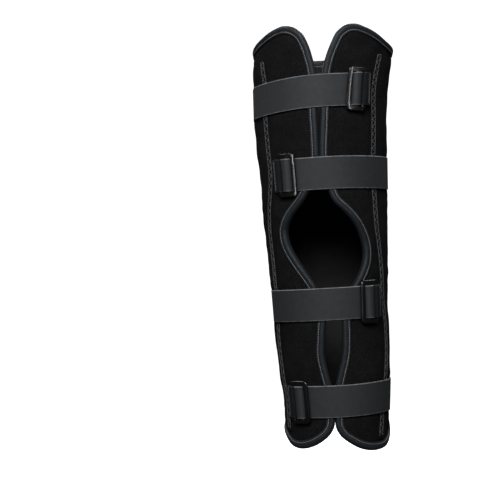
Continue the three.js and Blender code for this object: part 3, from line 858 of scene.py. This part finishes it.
def zigzag(lines, out, pitch):
    """Stitches that step across lines with equally many points and back again, all the way along."""
    order = list(range(len(lines))) + list(range(len(lines) - 2, 0, -1))
    at, spots = stations(lines[0], pitch / (len(lines) - 1))
    across = np.stack([pick(spots, at, line) for line in lines])
    corners = across[[order[i % len(order)] for i in range(len(spots))], range(len(spots))]
    middle = (corners[1:] + corners[:-1]) / 2
    return middle, unit(np.diff(corners, axis=0)), unit(pick(spots, at, out)[1:])


def sew(name, seams):
    """One mesh of all the stitches of some seams."""
    verts, faces = [], []
    for centres, along, out in seams:
        for centre, way, up in zip(centres, along, out):
            side = unit(np.cross(way, up))
            lift = np.cross(side, way)
            turned = stitch_points @ np.stack([side, lift, way])
            start = len(verts)
            verts.extend(centre + turned)
            faces.extend(tuple(start + corner for corner in face) for face in stitch_faces)
    piece = new_piece(name, verts, faces)
    face_outwards(piece)
    print(name, "has", len(faces) // len(stitch_faces), "stitches")
    return piece


def tape_seam(out):
    line = on_tape(tape_places, TAPE_SEAM, out)
    beyond = on_tape(tape_places, TAPE_SEAM, out + math.copysign(1, out + WALL / 2))
    return seam(line, beyond - line, looped=True)


THREAD_RISE = 0.2
seam_level = dict(TAPE_LEG)[TAPE_SEAM] + THREAD_RISE
tape_seams = [tape_seam(seam_level), tape_seam(-WALL - seam_level)]
threads = {"binding_thread": sew("binding_thread", tape_seams)}

# %% [markdown]
# The channels are sewn with a cover stitch: a row of thread along each side, and a fine zigzag of thread
# that steps from one row to the other over the welt. A short row across closes the channel's upper end.

# %% Channel stitches
ZIGZAG_LINES = (-2.7, -0.9, 0.9, 2.7)
ZIGZAG_PITCH = 4.2
ZIGZAG_RISE = -0.1
CLOSING_ROW = 1


def welt_line(path, aside, rise):
    """A line of points aside of a welt's middle and out from its face, in millimetres."""
    asides, rises = zip(*CHANNEL_PROFILE)
    return on_path(path, aside, np.interp(aside, asides, rises) + rise)[CLOSING_ROW:-2]


for side, path in channel_paths.items():
    ways = path[2][CLOSING_ROW:-2]
    sides = [welt_line(path, aside, THREAD_RISE) for aside in (-CHANNEL_SEAM, CHANNEL_SEAM)]
    steps = [welt_line(path, aside, ZIGZAG_RISE) for aside in ZIGZAG_LINES]
    tops = [welt_line(path, aside, THREAD_RISE)[0] for aside in (-CHANNEL_SEAM, 0, CHANNEL_SEAM)]
    rows = [seam(line, ways) for line in sides] + [zigzag(steps, ways, ZIGZAG_PITCH)]
    rows.append(seam(np.array(tops), np.tile(ways[0], (3, 1)), STITCH))
    name = f"channel_thread_{side}"
    threads[name] = sew(name, rows)

# %% [markdown]
# The straps' ends at the back are sewn down with a box and a cross, and the tabs with rows of zigzag.

# %% Strap ends and tabs
BOX_LENGTH, BOX_EDGE = 26, 3.2
STRAP_LEVEL = STRAP_THICK / 2 + THREAD_RISE
TAB_ROWS, TAB_EDGE, TAB_PITCH = (1.6, 4.6), 1.5, 2.2
TAB_LEVEL = TAB_THICK / 2 + THREAD_RISE
ROW_POINTS = 24


def face_line(path, spots, asides, level):
    """Points on a ribbon's face at distances along and across it, in millimetres, with the ways out."""
    middle, across, out, along = path
    at, side, away = (pick(spots * MM, along, rows) for rows in (middle, across, out))
    return at + side * np.reshape(asides, (-1, 1)) * MM + away * level * MM, away


def straight(path, start, end, level):
    """A straight seam on a ribbon between two spots, each a distance along and a distance across."""
    spots = np.linspace(start[0], end[0], ROW_POINTS)
    asides = np.linspace(start[1], end[1], ROW_POINTS)
    return seam(*face_line(path, spots, asides, level))


for number, path in strap_moved.items():
    top = STRAP_WIDTH / 2 - BOX_EDGE
    corners = [(BOX_EDGE, -top), (BOX_EDGE, top), (BOX_LENGTH, top), (BOX_LENGTH, -top)]
    runs = [(corners[i], corners[(i + 1) % 4]) for i in range(4)]
    runs += [(corners[0], corners[2]), (corners[1], corners[3])]
    name = f"strap_thread_{number}"
    threads[name] = sew(name, [straight(path, a, b, STRAP_LEVEL) for a, b in runs])
for number, path in tab_paths.items():
    middle, _, out, along = path
    radius = np.hypot(middle[:, 0], middle[:, 1])
    end = 0 if radius[0] > radius[-1] else -1
    face = TAB_LEVEL * np.sign(np.dot(out[end], middle[end] * [1, 1, 0]))
    edge = STRAP_WIDTH / 2 - TAB_EDGE
    asides = np.linspace(-edge, edge, ROW_POINTS)
    sewn, sewn_out = [], []
    for row in TAB_ROWS:
        spots = np.full(ROW_POINTS, abs(along[end] / MM - row))
        line, away = face_line(path, spots, asides, face)
        sewn.append(line)
        sewn_out.append(away)
    ways = sewn_out[0] * np.sign(face)
    rows = [seam(line, ways) for line in sewn] + [zigzag(sewn, ways, TAB_PITCH)]
    name = f"tab_thread_{number}"
    threads[name] = sew(name, rows)

# %% [markdown]
# ## Finishes
#
# The materials are built from small shader groups, each a real effect: the loops of the
# pile, the rows of a weave and a little lint. A group only gives values and colours
# that vary over the surface, and the shader that uses them stays in the material.

# %% Helpers for nodes
def feed(tree, node, feeds):
    """Link each named input of a node to a socket, or give it its value."""
    for socket, value in feeds.items():
        if isinstance(value, bpy.types.NodeSocket):
            tree.links.new(value, node.inputs[socket])
        else:
            node.inputs[socket].default_value = value


def add(tree, kind, feeds, **traits):
    """Add a node with its traits set and its inputs fed."""
    made = tree.nodes.new(kind)
    for trait, value in traits.items():
        setattr(made, trait, value)
    feed(tree, made, feeds)
    return made


def calculate(tree, operation, *values, clamp=False):
    feeds = dict(enumerate(values))
    return add(tree, "ShaderNodeMath", feeds, operation=operation, use_clamp=clamp).outputs[0]


def mix_colours(tree, factor, first, second):
    feeds = {0: factor, 6: first, 7: second}
    return add(tree, "ShaderNodeMix", feeds, data_type="RGBA").outputs[2]


def spread(tree, value, low, high, to_low=0.0, to_high=1.0):
    feeds = {"Value": value, "From Min": low, "From Max": high, "To Min": to_low, "To Max": to_high}
    return add(tree, "ShaderNodeMapRange", feeds).outputs["Result"]


def shader_group(name, inputs, outputs):
    """An empty node group with named sockets. Each is a name and a kind: Float, Vector or Color."""
    tree = bpy.data.node_groups.new(name, "ShaderNodeTree")
    for way, sockets in (("INPUT", inputs), ("OUTPUT", outputs)):
        for socket, kind in sockets:
            tree.interface.new_socket(socket, in_out=way, socket_type=f"NodeSocket{kind}")
    enter = tree.nodes.new("NodeGroupInput")
    leave = tree.nodes.new("NodeGroupOutput")
    return tree, enter.outputs, leave.inputs


# %% [markdown]
# Loop pile is a field of tiny loops that trap light between them. The
# cells of a Voronoi texture stand for the loops and a noise frays them.
# The colour is painted darker down between the loops and lighter on their
# tips, a painted shade of the pile. A second, slower noise brushes some
# patches lighter, as hands do in use.

# %% Loop pile
pile, given, result = shader_group(
    "loop pile",
    [("Vector", "Vector"), ("Loops per metre", "Float"), ("Shaded deep", "Color"), ("Tips", "Color")],
    [("Color", "Color"), ("Height", "Float")],
)
loops = add(pile, "ShaderNodeTexVoronoi", {"Vector": given["Vector"], "Scale": given["Loops per metre"]})
feeds = {"Vector": given["Vector"], "Scale": given["Loops per metre"], "Detail": 3.0}
fuzz = add(pile, "ShaderNodeTexNoise", feeds)
nap = add(pile, "ShaderNodeTexNoise", {"Vector": given["Vector"], "Scale": 38.0, "Detail": 2.0})
loop_height = calculate(pile, "SUBTRACT", 1.0, loops.outputs["Distance"])
height = calculate(pile, "MULTIPLY_ADD", fuzz.outputs["Fac"], 0.6, loop_height)
brushed = spread(pile, nap.outputs["Fac"], 0.3, 0.7, 0.4)
# Painted shade: darker down between the loops and lighter on their tips, times the brushed patches.
painted_loop_shade_and_nap = calculate(pile, "MULTIPLY", spread(pile, height, 0.7, 1.4), brushed)
pile.links.new(mix_colours(pile, painted_loop_shade_and_nap, given["Shaded deep"], given["Tips"]), result["Color"])
pile.links.new(height, result["Height"])

# %% [markdown]
# In a plain weave the threads rise and sink in turn, which is what two sine waves
# give when they are multiplied, one along the piece and one across it. The rates
# are counted in a metre of cloth, so one group serves tape, webbing and thread.

# %% Woven rows
weave, given, result = shader_group(
    "woven rows",
    [("Vector", "Vector"), ("Rows per metre", "Float"), ("Columns per metre", "Float")],
    [("Height", "Float"), ("Fuzz", "Float")],
)
parts = add(weave, "ShaderNodeSeparateXYZ", {"Vector": given["Vector"]}).outputs
waves_of = []
for part, rate in ((parts["X"], "Rows per metre"), (parts["Y"], "Columns per metre")):
    turns = calculate(weave, "MULTIPLY", calculate(weave, "MULTIPLY", part, given[rate]), 2 * math.pi)
    waves_of.append(calculate(weave, "SINE", turns))
cloth_fuzz = add(weave, "ShaderNodeTexNoise", {"Vector": given["Vector"], "Scale": 1400.0, "Detail": 3.0})
woven = calculate(weave, "MULTIPLY", waves_of[0], waves_of[1])
weave.links.new(calculate(weave, "MULTIPLY_ADD", woven, 0.5, 0.5), result["Height"])
weave.links.new(cloth_fuzz.outputs["Fac"], result["Fuzz"])

# %% [markdown]
# Black cloth always shows a little lint and dust. Fine specks and a faint
# wide haze are laid over a colour, as strongly as each material asks.

# %% Lint
lint, given, result = shader_group(
    "lint",
    [("Vector", "Vector"), ("Color", "Color"), ("Lint", "Color"), ("Amount", "Float")],
    [("Color", "Color")],
)
specks = add(lint, "ShaderNodeTexNoise", {"Vector": given["Vector"], "Scale": 620.0, "Detail": 1.0})
dust = add(lint, "ShaderNodeTexNoise", {"Vector": given["Vector"], "Scale": 24.0, "Detail": 3.0})
seen = calculate(lint, "MULTIPLY", spread(lint, specks.outputs["Fac"], 0.68, 0.78), given["Amount"])
haze = calculate(lint, "MULTIPLY", spread(lint, dust.outputs["Fac"], 0.45, 0.8), given["Amount"])
cover = calculate(lint, "MULTIPLY_ADD", haze, 0.25, seen, clamp=True)
lint.links.new(mix_colours(lint, cover, given["Color"], given["Lint"]), result["Color"])

# %% [markdown]
# Two kinds of cloth are enough for this brace. Pile reads Object coordinates, because
# it has no direction. Woven cloth reads its UV map, so its rows follow the piece, and
# it takes another colour along its edges. Its yarn is dark and smooth: the grey of a
# strap is a broad, soft gloss on it, which fades as the strap turns away.

# %% Cloth shaders
LINT_COLOUR = (0.09, 0.09, 0.095, 1)
ROUGHNESS_VARIES = 0.07
YARN_TINT = (0.84, 0.885, 0.94, 1)


def new_material(name, roughness):
    """An empty material with its shader, and where its nodes and the mesh's coordinates are."""
    made = bpy.data.materials.new(name)
    made.use_nodes = True
    tree = made.node_tree
    shader = tree.nodes["Principled BSDF"]
    shader.inputs["Roughness"].default_value = roughness
    places = tree.nodes.new("ShaderNodeTexCoord").outputs
    return made, tree, shader, places


def place_group(tree, group, feeds):
    made = tree.nodes.new("ShaderNodeGroup")
    made.node_tree = group
    feed(tree, made, feeds)
    return made.outputs


def bump(tree, shader, height, distance, strength=1.0):
    feeds = {"Height": height, "Distance": distance * MM, "Strength": strength}
    tree.links.new(add(tree, "ShaderNodeBump", feeds).outputs["Normal"], shader.inputs["Normal"])


def pile_material(name, shaded_deep, tips, loops_per_metre, depth, lint_amount):
    made, tree, shader, places = new_material(name, 1.0)
    shader.inputs["Specular IOR Level"].default_value = 0.04
    feeds = {"Vector": places["Object"], "Loops per metre": loops_per_metre, "Shaded deep": shaded_deep, "Tips": tips}
    loops = place_group(tree, pile, feeds)
    feeds = {"Vector": places["Object"], "Color": loops["Color"]}
    feeds |= {"Lint": LINT_COLOUR, "Amount": lint_amount}
    tree.links.new(place_group(tree, lint, feeds)["Color"], shader.inputs["Base Color"])
    bump(tree, shader, loops["Height"], depth)
    return made


def woven_material(name, tones, rates, depth, shine, edge_from=1.0, rib_shade=0.35):
    """Cloth whose rows follow the UV map. Past edge_from, in mm across, it takes the edge colour."""
    dark, light, edge = tones
    roughness, specular = shine
    made, tree, shader, places = new_material(name, roughness)
    shader.inputs["Specular IOR Level"].default_value = specular
    shader.inputs["Specular Tint"].default_value = YARN_TINT
    feeds = {"Vector": places["UV"], "Rows per metre": rates[0], "Columns per metre": rates[1]}
    rows = place_group(tree, weave, feeds)
    cloud = add(tree, "ShaderNodeTexNoise", {"Vector": places["Object"], "Scale": 170.0, "Detail": 5.0})
    uneven = calculate(tree, "MULTIPLY", cloud.outputs["Fac"], 0.5)
    uneven = calculate(tree, "MULTIPLY_ADD", rows["Fuzz"], 0.5, uneven)
    # Painted shade: the rows that rise are painted lighter and the rows that sink darker, on top of the
    # random tone of the yarn and its fuzz.
    rib_shade_and_tone = calculate(tree, "MULTIPLY_ADD", rows["Height"], rib_shade, uneven)
    body = mix_colours(tree, spread(tree, rib_shade_and_tone, 0.3, 0.95), dark, light)
    across = add(tree, "ShaderNodeSeparateXYZ", {"Vector": places["UV"]}).outputs["Y"]
    rim = spread(tree, calculate(tree, "ABSOLUTE", across), edge_from * MM, (edge_from + 0.35) * MM)
    broken = calculate(tree, "MULTIPLY", rim, spread(tree, cloud.outputs["Fac"], 0.3, 0.6, 0.35))
    colour = mix_colours(tree, broken, body, edge)
    feeds = {"Vector": places["Object"], "Color": colour, "Lint": LINT_COLOUR, "Amount": 0.12}
    tree.links.new(place_group(tree, lint, feeds)["Color"], shader.inputs["Base Color"])
    smooth = spread(tree, rib_shade_and_tone, 0.3, 0.95, roughness + ROUGHNESS_VARIES, roughness - ROUGHNESS_VARIES)
    tree.links.new(smooth, shader.inputs["Roughness"])
    relief = calculate(tree, "MULTIPLY_ADD", rows["Fuzz"], 0.8, rows["Height"])
    bump(tree, shader, relief, depth)
    return made


# %% [markdown]
# The colours are linear values, nearly grey, with a trace of blue in the yarn. The
# pile is the blackest, because its loops trap light. The tape and the webbing are
# the same black yarn, but they are smooth, so they catch more of the light and look
# grey beside it. Thread is lighter, and so are the edges of the straps and tabs.

# %% Cloth finishes
def grey(value, blue=1.0):
    return (value, value * (1 + 0.5 * (blue - 1)), value * blue, 1)


wrap_pile = pile_material("wrap pile", grey(0.0052), grey(0.0245, 1.03), 900.0, 0.3, 0.1)
lining = pile_material("smooth lining", grey(0.015), grey(0.034, 1.1), 2200.0, 0.12, 0.05)
tape_tones = (grey(0.001, 1.3), grey(0.014, 1.35), grey(0.005, 1.2))
tape_cloth = woven_material("binding tape", tape_tones, (330.0, 210.0), 0.35, (0.45, 0.25), 8.6, 0.9)
strap_tones = (grey(0.008, 1.2), grey(0.019, 1.2), grey(0.15, 1.1))
strap_cloth = woven_material("brushed webbing", strap_tones, (620.0, 900.0), 0.1, (0.71, 0.56), 17.8)
tab_tones = (grey(0.003, 1.1), grey(0.011, 1.15), grey(0.03, 1.1))
tab_cloth = woven_material("tab webbing", tab_tones, (520.0, 700.0), 0.16, (0.8, 0.1), 17.9)
thread_tones = (grey(0.12, 1.08), grey(0.26, 1.1), grey(0.2))
thread = woven_material("edge thread", thread_tones, (900.0, 900.0), 0.05, (0.7, 0.1))
dull_tones = (grey(0.05, 1.05), grey(0.16, 1.08), grey(0.1))
dull_thread = woven_material("dull thread", dull_tones, (900.0, 900.0), 0.05, (0.7, 0.1))

# %% [markdown]
# The rings are satin black plastic. Moulding leaves a fine grain, handling polishes it
# in patches, and a thin coat of gloss on top gives the bright lines along the bars.

# %% Ring finish
plastic, tree, shader, places = new_material("satin plastic", 0.3)
shader.inputs["Base Color"].default_value = (0.002, 0.002, 0.0023, 1)
shader.inputs["Specular IOR Level"].default_value = 0.8
shader.inputs["Coat Weight"].default_value = 0.6
shader.inputs["Coat Roughness"].default_value = 0.12
grain = add(tree, "ShaderNodeTexNoise", {"Vector": places["Object"], "Scale": 900.0, "Detail": 3.0})
rubbed = add(tree, "ShaderNodeTexNoise", {"Vector": places["Object"], "Scale": 120.0, "Detail": 5.0})
tree.links.new(spread(tree, rubbed.outputs["Fac"], 0.3, 0.7, 0.14, 0.26), shader.inputs["Roughness"])
bump(tree, shader, grain.outputs["Fac"], 0.006)
print("materials:", ", ".join(sorted(made.name for made in bpy.data.materials)))

# %% [markdown]
# The wrap has two finishes. Which one a face gets depends
# only on whether it looks away from the brace's axis.

# %% Dress the pieces
def dress(piece, *materials):
    piece.data.materials.clear()
    for material in materials:
        piece.data.materials.append(material)


dress(padded_wrap, wrap_pile, lining)
for face in padded_wrap.data.polygons:
    face.use_smooth = True
    face.material_index = int(face.normal.x * face.center.x + face.normal.y * face.center.y < 0)
dress(edge_binding, tape_cloth)
for side in channels:
    dress(channels[side], wrap_pile)
for number in STRAPS:
    dress(straps[number], strap_cloth)
    dress(tabs[number], tab_cloth)
    dress(rings[number], plastic)
for name, piece in threads.items():
    dress(piece, thread if name == "binding_thread" else dull_thread)

# %% [markdown]
# ## What each piece stands for
#
# Every piece rides on the frame's one body and takes the place of its
# plain solid.


def stand_for(piece, slot, *replaced):
    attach(piece, "root")
    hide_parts(*replaced)


stand_for(padded_wrap, "pile_laminate", "wrap")
stand_for(edge_binding, "binding_tape", "edge_binding")
for side, piece in channels.items():
    stand_for(piece, "pile_laminate", f"stay_channel_{side}")
for number in STRAPS:
    stand_for(straps[number], "webbing", f"strap_{number}")
    stand_for(tabs[number], "tab_webbing", f"tab_{number}")
    stand_for(rings[number], "ring_plastic", f"ring_{number}")
for piece in threads.values():
    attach(piece, "root")

# %% [markdown]
# ## Studio
#
# A pale floor half a metre below the knee curves up all round into a wall, so no horizon shows from
# any side. A broad key light hangs over the camera. Two narrow strips draw the highlights along the
# rings. The straps get darker towards the sides, so the lamps for the sides hang high up, where little
# of their light reaches the straps that the camera sees, and one more lamp stands right behind.

# %% Studio
FLOOR = -0.52
STUDIO_RADIUS, STUDIO_CURVE, STUDIO_HEIGHT = 4.4, 1.2, 3.6

bpy.ops.object.select_all(action="DESELECT")
studio_centre = (0, 0, FLOOR + STUDIO_HEIGHT / 2)
bpy.ops.mesh.primitive_cylinder_add(
    vertices=64, radius=STUDIO_RADIUS, depth=STUDIO_HEIGHT, location=studio_centre
)
studio = bpy.context.object
studio.name = "studio"
bpy.ops.object.transform_apply(location=True, rotation=False, scale=False)
bpy.ops.object.mode_set(mode="EDIT")
select_faces(studio, lambda c, n: n.z > 0.9)
bpy.ops.mesh.delete(type="FACE")
select_edges(studio, lambda a, b: max(a.z, b.z) < FLOOR / MM + 1)
bpy.ops.mesh.bevel(offset=STUDIO_CURVE, segments=12, affect="EDGES")
bpy.ops.object.mode_set(mode="OBJECT")
bpy.ops.object.shade_smooth()
print("studio:", len(studio.data.polygons), "faces")

studio.visible_glossy = False
studio.visible_diffuse = False
paper, tree, shader, places = new_material("pale paper", 0.9)
shader.inputs["Base Color"].default_value = (0.86, 0.86, 0.86, 1)
shader.inputs["Emission Color"].default_value = (1, 1, 1, 1)
shader.inputs["Emission Strength"].default_value = 0.95
dress(studio, paper)

world = bpy.data.worlds.new("room light")
bpy.context.scene.world = world
world.use_nodes = True
world.node_tree.nodes["Background"].inputs["Color"].default_value = (1, 1, 1, 1)
world.node_tree.nodes["Background"].inputs["Strength"].default_value = 0.03


def lamp(name, place, target, size, power):
    """A rectangular lamp that faces a target."""
    data = bpy.data.lights.new(name, "AREA")
    data.shape = "RECTANGLE"
    data.size, data.size_y = size
    data.energy = power
    made = bpy.data.objects.new(name, data)
    made.location = place
    made.rotation_euler = (Vector(target) - Vector(place)).to_track_quat("-Z", "Y").to_euler()
    bpy.context.scene.collection.objects.link(made)


lamp("key light", (-0.2, -1.9, 1.25), (0, 0, 0), (0.9, 0.9), 54)
lamp("left strip", (-1.5, -1.3, 0.3), (0, 0, 0), (0.07, 1.4), 3.2)
lamp("right strip", (1.5, -1.4, 0.3), (0, 0, 0), (0.07, 1.4), 3.2)
lamp("left high light", (-1.5, 1.0, 2.3), (0, 0, 0), (0.9, 0.9), 26)
lamp("right high light", (1.5, 1.0, 2.3), (0, 0, 0), (0.9, 0.9), 26)
lamp("back light", (0, 2.4, 1.2), (0, 0, 0), (1.2, 1.2), 45)
bpy.context.scene.view_settings.view_transform = "Standard"
